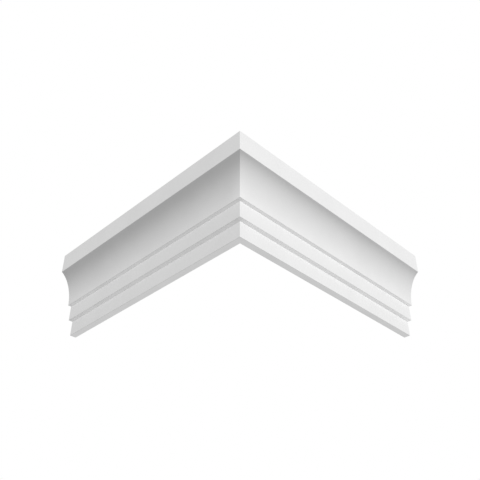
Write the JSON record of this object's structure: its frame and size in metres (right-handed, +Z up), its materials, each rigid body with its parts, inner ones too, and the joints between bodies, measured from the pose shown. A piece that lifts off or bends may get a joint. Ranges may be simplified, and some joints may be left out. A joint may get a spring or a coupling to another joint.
{
  "type": "cornice moulding corner",
  "caption": "Outside corner of a cornice moulding with a flat fascia, a cove and stepped bands below it, flat-backed to close the turn of a wall under a ceiling or eaves.",
  "frame": {"origin": "middle of the bounding box at the level of the underside, so the part stands on its underside at z = 0", "axes": "+Z up, as fixed on a wall; one leg faces +X and runs along Y, the other faces -Y and runs along X; both backs face the wall at x = 0.12 and y = -0.12"},
  "size_m": [0.305, 0.305, 0.1],
  "materials": {
    "primed_white": "white primed rigid foam, matte, with crisp arrises"
  },
  "bodies": {
    "root": {"cornice_corner": "primed_white"}
  },
  "joints": []
}
